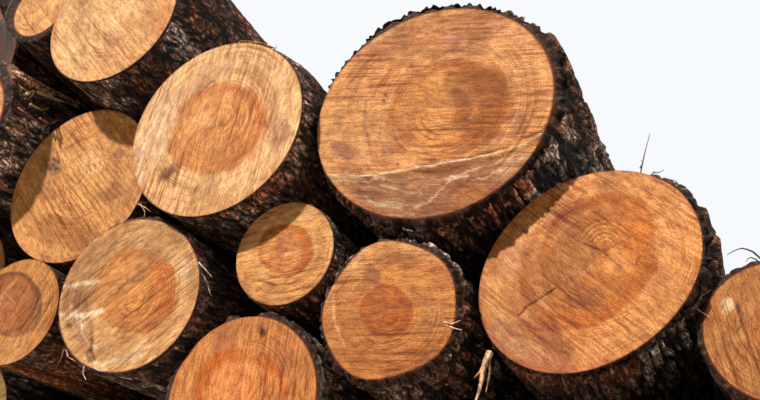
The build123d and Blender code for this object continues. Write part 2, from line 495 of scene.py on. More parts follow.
def saw_direction(look, points, place):
    """Turn a direction seen in the photograph into an angle on the sawn face."""
    rim, seen = points[-1], place[-1]
    quarter = len(rim) // 4
    right, up = rim[0] - rim[2 * quarter], rim[quarter] - rim[3 * quarter]
    seen_right, seen_up = seen[0] - seen[2 * quarter], seen[quarter] - seen[3 * quarter]
    wanted = np.array((cos(radians(look.saw)), -sin(radians(look.saw))))
    a, b = np.linalg.solve(np.stack([seen_right, seen_up], -1), wanted)
    way = a * right + b * up
    return float(np.arctan2(way[2], way[0]))


def plain_marks(seed, pith, radius):
    """Drying cracks and stains for a face that the photograph doesn't show, in hundredths of its radius."""
    pick = np.random.default_rng(seed)
    x, y = 100 * pith[0] / radius, -100 * pith[1] / radius
    marks = [Spot((x, y), (6, 5), CRACK_SOFT, 0.5, ragged=0.15)]
    for _ in range(pick.integers(2, 5)):
        way = pick.uniform(0, 2 * pi)
        length = pick.uniform(18, 60)
        tip = (x + length * cos(way), y + length * sin(way))
        bend = (x + 0.5 * length * cos(way + 0.15), y + 0.5 * length * sin(way + 0.15))
        marks.append(Line(((x, y), bend, tip), pick.uniform(1.2, 2.2), CRACK, 0.8, 0.002, 2.5))
    for _ in range(2):
        way, away = pick.uniform(0, 2 * pi), pick.uniform(30, 80)
        size = pick.uniform(8, 25)
        middle = (x + away * cos(way), y + away * sin(way))
        marks.append(Spot(middle, (size, size * 0.6), STAIN_PURPLE, 0.4, ragged=0.5))
    return marks


def swollen(look, angle, share, length):
    """How much thicker the bark is on its swells, which fade out over its far half."""
    thicker = 0
    for where, width, height, start in look.swells:
        away = np.abs(np.mod(angle - radians(where) + pi, 2 * pi) - pi)
        around = 1 - ramp(0, radians(width), away)
        along = ramp(-0.05, start, share * length) * (1 - ramp(0.5, 1, share))
        thicker = thicker + height * around * along
    return thicker


def bare_places(look, arc, y, girth, seed):
    """Where the bark is lost: 1 on bare wood and 0 on bark."""
    around = max(4, int(girth / 0.16))
    lost = layered_noise(arc / girth * around, y / 0.5, seed + 71, 4, around)
    return ramp(0.0, 0.05, lost - 0.6 + 1.35 * look.bare) if look.bare else 0 * lost


def bare_colour(arc, y, seed):
    """Wood with streaks of inner bark and brown patches."""
    fibre = layered_noise(arc / 0.012, y / 0.2, seed + 81, 3)
    dirt = layered_noise(arc / 0.1, y / 0.25, seed + 83, 2)
    wood = mix(BARE_WOOD, INNER_BARK, ramp(-0.2, 0.3, fibre))
    return mix(wood, BARK_BROWN, ramp(-0.2, 0.6, dirt) * 0.7)


def mark_side(look, middle, angle, points, colour, seed):
    """Lay the side marks on the bark of the log's near side."""
    to_camera = (CAMERA_AT - middle)[[0, 2]]
    faces = (np.cos(angle) * to_camera[0] + np.sin(angle) * to_camera[1]) / np.hypot(*to_camera)
    painted, _ = paint(look.side_marks, photo_place(points), colour, seed)
    return mix(colour, painted, ramp(-0.2, 0.1, faces))


def bark_sleeve(look, front_rim, back_rim, angle, seed):
    """The log's side from front to back, carved inward from the CAD's outline and its swells."""
    front, back = front_rim.at(angle), back_rim.at(angle)
    front_wood = wood_outline(look, front_rim, angle)
    back_wood = np.minimum(front_wood, back - 2 * MARGIN) * back.mean() / front.mean()
    front_cut = front_rim.cut(front * np.cos(angle), front * np.sin(angle))
    back_cut = back_rim.cut(back * np.cos(angle), back * np.sin(angle))
    girth = 2 * pi * front.mean()
    length = back_rim.middle[1] - front_rim.middle[1]
    share = np.linspace(0, 1, look.along)[:, None]
    share = 0.45 * share + 0.55 * share**2.4
    y = front_cut + share * (back_cut - front_cut)
    arc = np.broadcast_to(angle / (2 * pi) * girth, y.shape)
    depth, raised, number, flaked = bark_relief(PLATES[look.plates], arc, y, girth, seed)
    outside = front * (1 - share) + back * share - MARGIN + swollen(look, angle, share, length)
    wood = front_wood * (1 - share) + back_wood * share
    bare = bare_places(look, arc, y, girth, seed)
    reach = (outside - depth) * (1 - bare) + (np.minimum(wood, outside) - MARGIN) * bare
    reach = np.minimum(reach, outside)
    # Painted light: the bark's colours are made lighter by the log's own factor, for light that the lamps
    # don't give its shaded sides.
    colour = bark_colour(raised, number, flaked, arc, y, seed) * look.bark_light
    colour = mix(colour, bare_colour(arc, y, seed), bare)
    along = ((y - front_rim.middle[1]) / length)[..., None]
    middle = front_rim.middle + along * (back_rim.middle - front_rim.middle)
    points = np.stack([middle[..., 0] + reach * np.cos(angle), y, middle[..., 2] + reach * np.sin(angle)], -1)
    if look.side_marks:
        colour = mark_side(look, front_rim.middle, angle, points, colour, seed)
    return points, colour, np.stack([arc, y, number * 10 + bare * 3], -1)


def sawn_bark(edge, first, angle, seed):
    """Rows across the bark's sawn end. Its outer part is broken back here and there."""
    share = np.linspace(0, 1, BARK_RINGS + 1)[1:-1, None]
    rows = edge * (1 - share[..., None]) + first * share[..., None]
    back = first[:, 1] - edge[:, 1]
    lumps = layered_noise(angle / (2 * pi) * BARK_LUMPS, share * 4 + 5, seed + 93, 3, BARK_LUMPS)
    rows[..., 1] = edge[:, 1] + back * np.clip(share**1.4 + 0.35 * lumps * share, 0, 1)
    shade = layered_noise(angle * 40, share * 3, seed + 95, 3)
    colour = mix(INNER_BARK, CUT_BARK, ramp(0.0, 0.3, share))
    colour = mix(colour, FURROW_DARK_AND_SHADE, ramp(-0.4, 0.3, shade + share - 0.3) * 0.9)
    colour = mix(colour, BARK_GREY, ramp(0.15, 0.5, -shade) * ramp(0.3, 0.7, share) * 0.3)
    return rows, colour


def tube_faces(start):
    """Faces of one strand whose points begin at start: its sides, its root and its tip."""
    here = start + np.arange(STRAND_SIDES) + np.arange(STRAND_RINGS - 1)[:, None] * STRAND_SIDES
    after = np.roll(here, -1, axis=1)
    sides = np.stack([here, here + STRAND_SIDES, after + STRAND_SIDES, after], -1).reshape(-1, 4)
    root = start + np.arange(STRAND_SIDES)
    tip = root[::-1] + (STRAND_RINGS - 1) * STRAND_SIDES
    return np.concatenate([sides, root[None], tip[None]])


def mesh_from_rows(name, rows, front_middle, back_middle, kinds, tubes):
    """A closed skin through rings of points, from the front's middle to the back's, and its strands."""
    count = rows.shape[1]
    total = len(rows)
    points = np.concatenate([rows.reshape(-1, 3), front_middle[None], back_middle[None]])
    skin = len(points)
    points = np.concatenate([points] + [tube.reshape(-1, 3) for tube in tubes])
    here = np.arange(count)
    after = np.roll(here, -1)
    start = np.arange(total - 1)[:, None] * count
    quads = np.stack([start + here, start + here + count, start + after + count, start + after], -1)
    quads = quads.reshape(-1, 4)
    first, last = np.full(count, skin - 2), np.full(count, skin - 1)
    end = (total - 1) * count
    fans = np.concatenate([np.stack([first, here, after], -1), np.stack([last, end + after, end + here], -1)])
    strips = [tube_faces(skin + number * STRAND_RINGS * STRAND_SIDES) for number in range(len(tubes))]
    strips = np.concatenate(strips) if strips else np.zeros((0, 4), int)
    mesh = bpy.data.meshes.new(name)
    mesh.vertices.add(len(points))
    mesh.vertices.foreach_set("co", points.astype(np.float32).ravel())
    sizes = np.concatenate([np.full(len(quads), 4), np.full(len(fans), 3), np.full(len(strips), 4)])
    corners = np.concatenate([quads.ravel(), fans.ravel(), strips.ravel()])
    kinds = [np.repeat(kinds, count), np.full(2 * count, ON_WOOD), np.full(len(strips), ON_EDGE)]
    kinds = np.concatenate(kinds)
    mesh.loops.add(int(sizes.sum()))
    mesh.loops.foreach_set("vertex_index", corners.astype(np.int32))
    mesh.polygons.add(len(sizes))
    mesh.polygons.foreach_set("loop_start", np.concatenate([[0], np.cumsum(sizes)[:-1]]).astype(np.int32))
    mesh.polygons.foreach_set("material_index", kinds.astype(np.int32))
    mesh.polygons.foreach_set("use_smooth", np.ones(len(sizes), bool))
    mesh.update(calc_edges=True)
    mesh.set_sharp_from_angle(angle=SHARP_EDGE)
    return mesh


def store(mesh, name, kind, values):
    """Keep a value for each point, or a colour, where the materials can read it."""
    values = np.asarray(values, dtype=np.float32)
    key = "vector"
    if kind == "FLOAT_COLOR":
        key = "color"
        values = np.concatenate([np.clip(values, 0, 1), np.ones((len(values), 1), np.float32)], axis=1)
    mesh.attributes.new(name, kind, "POINT").data.foreach_set(key, values.ravel())


def thin_end(look, rims):
    """The look of a log's thin end, which has the same wood and no marks of its own."""
    wood = look.wood * rims[1].reach.mean() / rims[0].reach.mean()
    rings = max(8, look.rings // THIN_END_RINGS)
    return replace(look, wood=wood, rings=rings, shown=False, pith=(0.05, 0.08), marks=())


def flat_grain(points):
    """The grain of bark that is sawn across."""
    return np.stack([points[..., 0], points[..., 2], 0 * points[..., 0]], -1)


def log_mesh(name, look, seed):
    """One log's skin: sawn face, sawn bark, side, and the same at the thin end."""
    angle = np.linspace(-pi, pi, look.around, endpoint=False)
    rims = end_rim(name, True), end_rim(name, False)
    side, side_tint, side_grain = bark_sleeve(look, *rims, angle, seed)
    face, face_tint, face_grain = sawn_face(name, look, rims[0], True, angle, seed)
    thin = thin_end(look, rims)
    tail, tail_tint, tail_grain = sawn_face(name, thin, rims[1], False, angle, seed + THIN_END_SEED)
    broken = ramp(-0.5, 0.5, layered_noise(angle / (2 * pi) * CHIPS, 0 * angle, seed + 91, 3, CHIPS))
    side[0, :, 1] = face[-1, :, 1] + 0.002 + look.chipped * (0.3 + 0.7 * broken)
    side[-1, :, 1] = tail[-1, :, 1] - 0.003
    bark, bark_tint = sawn_bark(face[-1], side[0], angle, seed)
    end_bark, end_tint = sawn_bark(tail[-1], side[-1], angle, seed)
    rows = np.concatenate([face, bark, side, end_bark[::-1], tail[::-1]])
    bands = (
        (len(face) - 1, ON_WOOD),
        (len(bark) + 1, ON_EDGE),
        (len(side) - 1, ON_SIDE),
        (len(end_bark) + 1, ON_EDGE),
        (len(tail) - 1, ON_WOOD),
    )
    kinds = np.concatenate([np.full(size, kind) for size, kind in bands])
    middles = face[0].mean(axis=0), tail[0].mean(axis=0)
    outside = rims[0].reach.mean() + max((swell[2] for swell in look.swells), default=0)
    tubes = [strand.tube(rims[0].middle, outside) for strand in look.strands]
    mesh = mesh_from_rows(name + "_skin", rows, *middles, kinds, tubes)
    tint = [face_tint, bark_tint, side_tint, end_tint[::-1], tail_tint[::-1]]
    tint += [face_tint[0, :1], tail_tint[0, :1]]
    tint += [np.tile(strand.colour, (STRAND_RINGS * STRAND_SIDES, 1)) for strand in look.strands]
    grain = [face_grain, flat_grain(bark), side_grain, flat_grain(end_bark)[::-1], tail_grain[::-1]]
    grain += [face_grain[0, :1], tail_grain[0, :1], *tubes]
    store(mesh, "tint", "FLOAT_COLOR", np.concatenate([part.reshape(-1, 3) for part in tint]))
    store(mesh, "grain", "FLOAT_VECTOR", np.concatenate([part.reshape(-1, 3) for part in grain]))
    return mesh


def dress(name, look, seed):
    """Put one log's skin in place of its CAD solid."""
    mesh = log_mesh(name, look, seed)
    for material in (SAWN_WOOD, BARK, BARK_EDGE):
        mesh.materials.append(material)
    piece = bpy.data.objects.new("dressed_" + name, mesh)
    bpy.context.scene.collection.objects.link(piece)
    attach(piece, "root")
    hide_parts(name)


# Materials

class Nodes:
    """A short way to write a node tree."""

    def __init__(self, name):
        self.material = bpy.data.materials.new(name)
        self.material.use_nodes = True
        self.tree = self.material.node_tree
        self.shader = self.tree.nodes["Principled BSDF"]

    def set(self, socket, value):
        """Link a socket to another's output, or give it a value."""
        if isinstance(value, bpy.types.NodeSocket):
            self.tree.links.new(value, socket)
        else:
            socket.default_value = (*value, 1.0) if socket.type == "RGBA" else value

    def add(self, kind, inputs=None, **settings):
        """A new node with its settings and its inputs."""
        node = self.tree.nodes.new(kind)
        for key, value in settings.items():
            setattr(node, key, value)
        for key, value in (inputs or {}).items():
            self.set(node.inputs[key], value)
        return node

    def math(self, operation, a, b=0.0, clamp=False):
        """A sum on two values."""
        return self.add("ShaderNodeMath", {0: a, 1: b}, operation=operation, use_clamp=clamp).outputs[0]

    def attribute(self, name, output="Vector"):
        """What the mesh stores under a name."""
        return self.add("ShaderNodeAttribute", attribute_name=name).outputs[output]

    def scaled(self, vector, scale):
        """A vector with each part multiplied by its own scale."""
        return self.add("ShaderNodeVectorMath", {0: vector, 1: scale}, operation="MULTIPLY").outputs[0]

    def warped(self, vector, scale, amount):
        """Push a vector about by a noise, so that straight marks waver."""
        noise = self.add("ShaderNodeTexNoise", {"Vector": vector, "Scale": scale, "Detail": 2.0})
        inputs = {0: noise.outputs["Color"], 1: (0.5, 0.5, 0.5)}
        centred = self.add("ShaderNodeVectorMath", inputs, operation="SUBTRACT").outputs[0]
        inputs = {0: vector, 1: self.scaled(centred, amount)}
        return self.add("ShaderNodeVectorMath", inputs, operation="ADD").outputs[0]

    def noise(self, vector, scale, detail=4.0, roughness=0.55, output="Fac"):
        """A noise pattern."""
        inputs = {"Vector": vector, "Scale": scale, "Detail": detail, "Roughness": roughness}
        return self.add("ShaderNodeTexNoise", inputs).outputs[output]

    def ramp(self, fac, stops):
        """Colours at their places along a value."""
        node = self.add("ShaderNodeValToRGB", {"Fac": fac})
        band = node.color_ramp.elements
        while len(band) < len(stops):
            band.new(0.5)
        for element, (at, colour) in zip(band, stops):
            element.position = at
            element.color = (*colour, 1.0)
        return node.outputs["Color"]

    def blend(self, kind, fac, a, b):
        """Two colours laid over one another."""
        node = self.add("ShaderNodeMix", data_type="RGBA", blend_type=kind)
        for socket, value in zip((node.inputs[0], node.inputs[6], node.inputs[7]), (fac, a, b)):
            self.set(socket, value)
        return node.outputs[2]

    def layered(self, layers):
        """The painted colours, darkened and lightened by patterns in turn."""
        colour = self.attribute("tint", "Color")
        for pattern, share, stops in layers:
            colour = self.blend("MULTIPLY", share, colour, self.ramp(pattern, stops))
        return colour

    def finish(self, colour, roughness, height, strength, distance):
        """Join the colour, the roughness and the bumps to the shader."""
        bump = self.add("ShaderNodeBump", {"Height": height, "Strength": strength, "Distance": distance})
        for key, value in (("Base Color", colour), ("Roughness", roughness), ("Normal", bump.outputs[0])):
            self.set(self.shader.inputs[key], value)
        self.shader.inputs["Specular IOR Level"].default_value = 0.2
        return self.material


def sawn_wood():
    """Saw lines, growth rings, fibres and a mottle, over the painted colours."""
    n = Nodes("sawn_wood")
    grain = n.warped(n.attribute("grain"), 7.0, (0.014, 0.008, 0.006))
    grain = n.warped(grain, 60.0, (0.005, 0.0022, 0.0015))

    def streaks(along, across, detail, roughness):
        return n.noise(n.scaled(grain, (along, across, 0.0)), 1.0, detail, roughness)

    def patches(scale, edge):
        """Where a pattern shows: 1 in patches and 0 between them."""
        above = n.math("SUBTRACT", streaks(scale, scale, 2.0, 0.5), edge, clamp=True)
        return n.math("MULTIPLY", above, 5.0, clamp=True)

    fine = streaks(50.0, 480.0, 3.0, 0.7)
    middle = streaks(14.0, 170.0, 4.0, 0.7)
    broad = streaks(4.0, 46.0, 3.0, 0.6)
    wide = streaks(9.0, 20.0, 4.0, 0.65)
    lines = streaks(4.0, 125.0, 2.0, 0.6)
    fibre = streaks(300.0, 380.0, 3.0, 0.75)
    mottle = streaks(45.0, 80.0, 4.0, 0.7)
    rings = n.noise(n.scaled(grain, (3.0, 3.0, 240.0)), 1.0, 2.0, 0.5)
    lined = n.math("MULTIPLY", patches(5.0, 0.43), 0.8)
    layers = (
        (wide, 0.7, [(0.36, (0.74, 0.62, 0.52)), (0.5, (1.0, 1.0, 1.0)), (0.64, (1.16, 1.16, 1.10))]),
        (broad, 0.5, [(0.38, (0.68, 0.54, 0.44)), (0.5, (1.0, 1.0, 1.0)), (0.62, (1.14, 1.16, 1.12))]),
        (middle, 0.38, [(0.38, (0.56, 0.42, 0.34)), (0.48, (0.98, 0.95, 0.92)), (0.62, (1.22, 1.26, 1.24))]),
        (fine, 0.6, [(0.38, (0.56, 0.42, 0.34)), (0.5, (1.0, 0.98, 0.95)), (0.62, (1.24, 1.28, 1.26))]),
        (mottle, 0.7, [(0.38, (0.68, 0.54, 0.45)), (0.5, (1.0, 1.0, 1.0)), (0.62, (1.18, 1.20, 1.14))]),
        (fibre, 0.9, [(0.38, (0.58, 0.46, 0.38)), (0.5, (1.0, 1.0, 1.0)), (0.62, (1.26, 1.28, 1.24))]),
        (rings, patches(6.0, 0.45), [(0.40, (0.70, 0.54, 0.42)), (0.52, (1.04, 1.04, 1.02))]),
        (lines, lined, [(0.41, (0.48, 0.31, 0.20)), (0.46, (1.0, 1.0, 1.0))]),
    )
    height = n.math("ADD", n.math("MULTIPLY", middle, 0.6), n.math("MULTIPLY", fine, 0.4))
    return n.finish(n.layered(layers), n.math("ADD", n.math("MULTIPLY", fine, 0.2), 0.62), height, 0.7, 0.003)


def rough_side():
    """Ridges, flakes, cracks and grit, over the painted colours of plates and furrows."""
    n = Nodes("bark")
    grain = n.warped(n.attribute("grain"), 14.0, (0.02, 0.03, 0.0))
    grain = n.warped(grain, 60.0, (0.006, 0.008, 0.0))
    flakes = n.noise(n.scaled(grain, (95.0, 34.0, 1.0)), 1.0, 5.0, 0.68)
    fine = n.noise(n.scaled(grain, (260.0, 70.0, 1.0)), 1.0, 4.0, 0.75)
    grit = n.noise(n.scaled(grain, (420.0, 260.0, 1.0)), 1.0, 3.0, 0.7)
    inputs = {"Vector": n.scaled(grain, (75.0, 17.0, 1.0)), "Scale": 1.0}
    cracks = n.add("ShaderNodeTexVoronoi", inputs, feature="DISTANCE_TO_EDGE").outputs["Distance"]
    mottle = n.noise(n.scaled(grain, (45.0, 25.0, 1.0)), 1.0, 3.0, 0.6, "Color")
    # The flakes and cracks also set the bump: the bark is darkest where they sink it and lightest where it
    # stands high, partly its own colour and partly painted shade and painted highlight.
    layers = (
        (flakes, 0.9, [
            (0.38, (0.16, 0.13, 0.12)),
            (0.47, (0.8, 0.77, 0.75)),
            (0.54, (1.2, 1.2, 1.2)),
            (0.62, (2.2, 2.2, 2.2)),
        ]),
        (fine, 0.95, [(0.42, (0.18, 0.16, 0.15)), (0.5, (1.0, 0.98, 0.96)), (0.58, (2.6, 2.6, 2.55))]),
        (cracks, 0.85, [(0.03, (0.06, 0.05, 0.05)), (0.20, (1.0, 1.0, 1.0)), (0.5, (1.35, 1.35, 1.35))]),
        (grit, 0.85, [(0.40, (0.35, 0.32, 0.30)), (0.60, (1.9, 1.88, 1.84))]),
    )
    colour = n.blend("OVERLAY", 0.25, n.layered(layers), mottle)
    deep = n.math("MULTIPLY", n.math("MINIMUM", cracks, 0.25), 1.2)
    height = n.math("ADD", n.math("MULTIPLY", flakes, 0.5), deep)
    return n.finish(colour, n.math("ADD", n.math("MULTIPLY", grit, 0.15), 0.78), height, 1.0, 0.008)


def cut_bark():
    """Bark across the saw cut, and twigs."""
    n = Nodes("cut_bark")
    grain = n.attribute("grain")
    layers = n.noise(n.scaled(grain, (150.0, 150.0, 60.0)), 1.0, 5.0, 0.75)
    lumps = n.noise(n.scaled(grain, (55.0, 55.0, 30.0)), 1.0, 4.0, 0.7)
    stops = [(0.38, (0.24, 0.20, 0.18)), (0.49, (0.95, 0.92, 0.90)), (0.62, (1.7, 1.65, 1.6))]
    colour = n.layered([(pattern, 0.85, stops) for pattern in (layers, lumps)])
    return n.finish(colour, n.math("ADD", n.math("MULTIPLY", layers, 0.1), 0.78), lumps, 1.0, 0.012)


# What the photograph shows of each log. Pixels are those of the photograph.

def face_look(**settings):
    """The look of a log whose sawn face shows. Its heartwood is one of its marks."""
    return Look(shown=True, heart=0.0, **settings)


LOOKS = {}

# The largest butt, with the felling cut
LOOKS[FELLED_BUTT] = face_look(
    wood=0.286, oval=0.034, oval_at=5, bark_light=2.0, plates="ridged", bare=0.0, chipped=0.030,
    swells=((10, 62, 0.034, 0.02), (105, 80, 0.019, 0.0), (-95, 70, 0.012, 0.0)),
    pith=(450, 108), sap=srgb(219, 156, 100), saw=1, around=320, along=96, rings=88,
    marks=(
        Spot((452, 107), (63, 48), srgb(180, 104, 42), 0.8, turn=12, soft=0.06, ragged=0.1),
        Spot((436, 109), (48, 42), srgb(218, 150, 84), 0.85, turn=12, soft=0.25, ragged=0.2),
        Spot((480, 101), (32, 43), srgb(156, 90, 34), 0.85, turn=-14, ragged=0.2),
        Spot((457, 88), (14, 16), srgb(142, 86, 42), 0.55, ragged=0.5),
        Spot((430, 118), (22, 22), SAP_ORANGE, 0.5, ragged=0.3),
        Spot((440, 34), (95, 22), srgb(180, 118, 76), turn=10),
        Spot((470, 48), (22, 6), STAIN_PURPLE, 0.45),
        Spot((450, 38), (12, 4), srgb(186, 130, 130), 0.5),
        Spot((505, 30), (26, 8), PINK, 0.4, turn=-25),
        Spot((445, 55), (26, 7), STAIN, 0.4, turn=2),
        Spot((523, 100), (12, 30), SAP_ORANGE, 0.4, ragged=0.4),
        Spot((520, 118), (9, 16), STAIN_PURPLE, 0.45, turn=-25, ragged=0.7),
        Spot((345, 120), (20, 36), srgb(228, 168, 104), 0.4, turn=-20, ragged=0.4),
        Spot((343, 150), (14, 7), STAIN_PURPLE, turn=-30),
        Line(((366, 100), (364, 122), (370, 146)), 2.5, STAIN_PURPLE, 0.5),
        Line(((381, 120), (380, 138), (386, 152)), 2.2, STAIN_PURPLE, 0.45),
        Spot((388, 152), (7, 5), STAIN_PURPLE),
        Spot((336, 124), (6, 12), STAIN_PURPLE, 0.35),
        Spot((440, 194), (112, 34), srgb(160, 106, 78), 0.8, turn=10, soft=0.2, ragged=0.25),
        Spot((391, 182), (34, 9), srgb(138, 92, 68), 0.65, turn=6, ragged=0.7),
        Spot((437, 174), (34, 5), srgb(142, 88, 62), turn=9, ragged=0.7),
        Spot((372, 194), (16, 5), srgb(112, 84, 62), turn=-6, ragged=0.9),
        Spot((412, 198), (12, 4), srgb(118, 84, 64), turn=10, ragged=0.9),
        Spot((455, 190), (12, 4), srgb(128, 84, 62), 0.5, turn=16, ragged=0.9),
        Spot((500, 180), (18, 6), srgb(186, 130, 108), turn=30, ragged=0.8),
        Spot((470, 194), (28, 10), srgb(214, 146, 88), 0.8, turn=22, ragged=0.4),
        Spot((512, 166), (22, 11), srgb(232, 186, 150), 0.7, turn=38),
        Line(((345, 172), (352, 176), (366, 180)), 1.4, RESIN, 0.7, wander=2),
        Line(((382, 184), (396, 187), (408, 190), (420, 191)), 1.6, srgb(214, 200, 160)),
        Line(((356, 192), (372, 200), (392, 208), (410, 210)), 1.8, srgb(216, 196, 164), 0.5, wander=4),
        Line(((404, 208), (425, 202), (436, 190), (450, 179), (468, 173)), 1.3, RESIN),
        Line(((446, 178), (472, 170), (500, 160), (524, 146)), 1.3, RESIN, 0.55),
        Line(((470, 182), (500, 168), (530, 150)), 1.1, RESIN, 0.45),
        Line(((480, 190), (510, 174), (536, 150)), 1.1, PINK, 0.5),
        Line(((440, 182), (475, 198)), 1.2, CRACK_SOFT, 0.5, wander=0.8),
        Line(((452, 180), (488, 194)), 1.0, CRACK_SOFT, 0.4, wander=0.8),
        Line(((380, 213), (430, 213), (470, 204), (505, 188)), 1.0, RESIN, 0.4, wander=1.5),
        Line(FELLING_LINE[:5], 1.3, srgb(255, 232, 196), 0.85, wander=1),
        Line(((330, 178), (346, 181), (366, 180), (384, 177)), 1.6, RESIN),
        Spot((392, 203), (22, 4), srgb(206, 190, 150), 0.5, turn=2, ragged=0.8),
        Spot((372, 188), (16, 4), srgb(200, 178, 130), 0.45, turn=-8, ragged=0.8),
        Line(((468, 157), (490, 152), (507, 147)), 1.1, srgb(60, 48, 30), 0.75, sink=0.002, wander=1.2),
        Line(((507, 151), (530, 141), (552, 127)), 1.4, srgb(240, 214, 170), wander=1.5),
        Line(((524, 138), (538, 133), (551, 124)), 1.1, srgb(60, 48, 30), 0.8, sink=0.002, wander=1.2),
        Line(((408, 92), (436, 90), (470, 93)), 1.0, CRACK_SOFT, 0.3, wander=0.8),
        Line(((440, 129), (470, 129), (496, 131)), 1.0, CRACK_SOFT, 0.5, wander=0.8),
        Spot((386, 95), (2, 2.4), CRACK, 0.7, ragged=0.15),
        Spot((384, 101), (2, 2), CRACK, 0.7, ragged=0.15),
        Spot((398, 164), (1.6, 2), CRACK, ragged=0.15),
        Line(((349, 85), (353, 80), (360, 72)), 1.3, STAIN, wander=2),
        Line(((372, 43), (382, 36), (393, 30)), 3, srgb(226, 196, 140), wander=2),
    ),
    side_marks=(
        Spot((526, 186), (9, 7), srgb(200, 116, 52), 0.7, ragged=0.5),
        Spot((404, 214), (46, 6), srgb(176, 120, 104), ragged=0.7),
        Spot((585, 92), (5, 4), srgb(240, 205, 190), 0.9, ragged=0.15),
        Spot((556, 50), (5, 16), srgb(170, 96, 70), 0.5),
    ))

# The large log at the right
LOOKS["second_row_log_6"] = face_look(
    wood=0.2305, oval=0.066, oval_at=34, bark_light=1.4, plates="ridged", bare=0.1, chipped=0.020,
    lobes=((1, 0.05, 90),), swells=((20, 75, 0.034, 0.04), (100, 60, 0.012, 0.0)),
    pith=(605, 250), sap=srgb(206, 142, 84), saw=-36, around=288, along=92, rings=76,
    marks=(
        Spot((589, 261), (81, 61), srgb(174, 98, 34), 0.9, turn=42, soft=0.06, ragged=0.08),
        Spot((586, 262), (68, 50), srgb(184, 114, 54), 0.8, turn=42, ragged=0.2),
        Spot((570, 262), (26, 40), srgb(156, 102, 58), turn=-15, ragged=0.4),
        Spot((582, 298), (24, 14), srgb(128, 78, 46), turn=15, ragged=0.5),
        Spot((570, 210), (22, 12), srgb(150, 90, 54), 0.5, turn=40),
        Spot((634, 232), (18, 30), srgb(206, 124, 50), 0.55, ragged=0.3),
        Spot((618, 262), (16, 14), srgb(226, 156, 90), 0.5, ragged=0.4),
        Spot((672, 225), (14, 46), srgb(222, 160, 104), 0.5, turn=-25, ragged=0.3),
        Spot((560, 185), (60, 11), srgb(222, 160, 106), 0.4, turn=14, ragged=0.5),
        Spot((508, 322), (34, 46), srgb(176, 112, 66), turn=-30, ragged=0.5),
        Spot((530, 348), (60, 28), srgb(146, 84, 50), 0.8, turn=-14, ragged=0.5),
        Spot((560, 362), (70, 10), srgb(170, 100, 66), turn=-4),
        Spot((500, 296), (14, 26), srgb(210, 148, 92), 0.5, ragged=0.4),
        Spot((610, 345), (50, 12), srgb(206, 146, 90), 0.5, turn=22, ragged=0.5),
        Spot((512, 262), (20, 12), srgb(178, 112, 84), 0.5, turn=35, ragged=0.5),
        Line(
            ((584, 243), (594, 248), (603, 251), (612, 259), (622, 268)),
            1.1, srgb(88, 48, 24), 0.9, sink=0.002, wander=1.5),
        Line(((622, 268), (634, 278), (644, 286)), 0.9, CRACK_SOFT, wander=1.5),
        Line(
            ((518, 315), (528, 307), (538, 300), (548, 293), (556, 288)),
            1.4, srgb(92, 52, 26), 0.9, sink=0.002, wander=2),
        Line(((605, 250), (618, 243), (640, 232)), 0.9, CRACK_SOFT, 0.55, wander=1.5),
        Line(((636, 264), (640, 256)), 1.6, CRACK, wander=0.8),
        Spot((663, 245), (4, 2), STAIN, turn=-20, ragged=0.15),
        Spot((605, 250), (2.5, 2.5), CRACK, 0.5, ragged=0.15),
        *ring_lines((605, 248), (7, 11, 15, 19, 24, 29), 35, 155, srgb(146, 82, 34), 0.6),
        *ring_lines((605, 248), (9, 13, 17, 21.5, 26.5), 40, 150, srgb(232, 170, 104), 0.5),
    ),
    side_marks=(
        Spot((545, 378), (50, 6), srgb(186, 124, 108), 0.65, turn=-10, ragged=0.7),
        Spot((620, 372), (40, 10), srgb(150, 92, 50), 0.5, turn=18, ragged=0.7),
        Spot((700, 222), (6, 26), srgb(150, 84, 60), turn=-35, ragged=0.5),
    ),
    strands=(
        Strand(((640, 180), (641, 170), (645, 152), (650, 133)), srgb(120, 100, 94), 0.0045, 0.012),
        Strand(((651, 180), (653, 172), (658, 173), (664, 170)), srgb(90, 60, 50), 0.004),
        Strand(((640, 168), (643, 163), (641, 160)), srgb(90, 60, 50), 0.003, 0.012),
        Strand(((684, 304), (696, 300), (711, 290)), srgb(196, 150, 112), 0.0045, 0.004, -0.02),
        Strand(((684, 306), (696, 308), (709, 317)), srgb(206, 160, 120), 0.004, 0.004, -0.02),
        Strand(((685, 302), (690, 296), (701, 293)), srgb(226, 186, 140), 0.004, 0.004, -0.01),
        Strand(((683, 308), (684, 315), (679, 322)), srgb(190, 130, 96), 0.004, 0.004, -0.01),
        Strand(((686, 304), (700, 312), (706, 322)), srgb(130, 84, 60), 0.004, 0.006),
        Strand(((490, 352), (484, 366), (481, 384), (475, 404)), srgb(206, 166, 128), 0.016, 0.006, -0.03),
        Strand(((488, 356), (480, 372), (474, 378)), srgb(186, 120, 84), 0.008, 0.006, -0.02),
        Strand(((489, 354), (490, 372), (486, 392)), srgb(150, 112, 84), 0.008, 0.008, -0.02),
        Strand(((655, 338), (660, 342), (657, 347)), srgb(230, 200, 150), 0.004, 0.004),
    ))

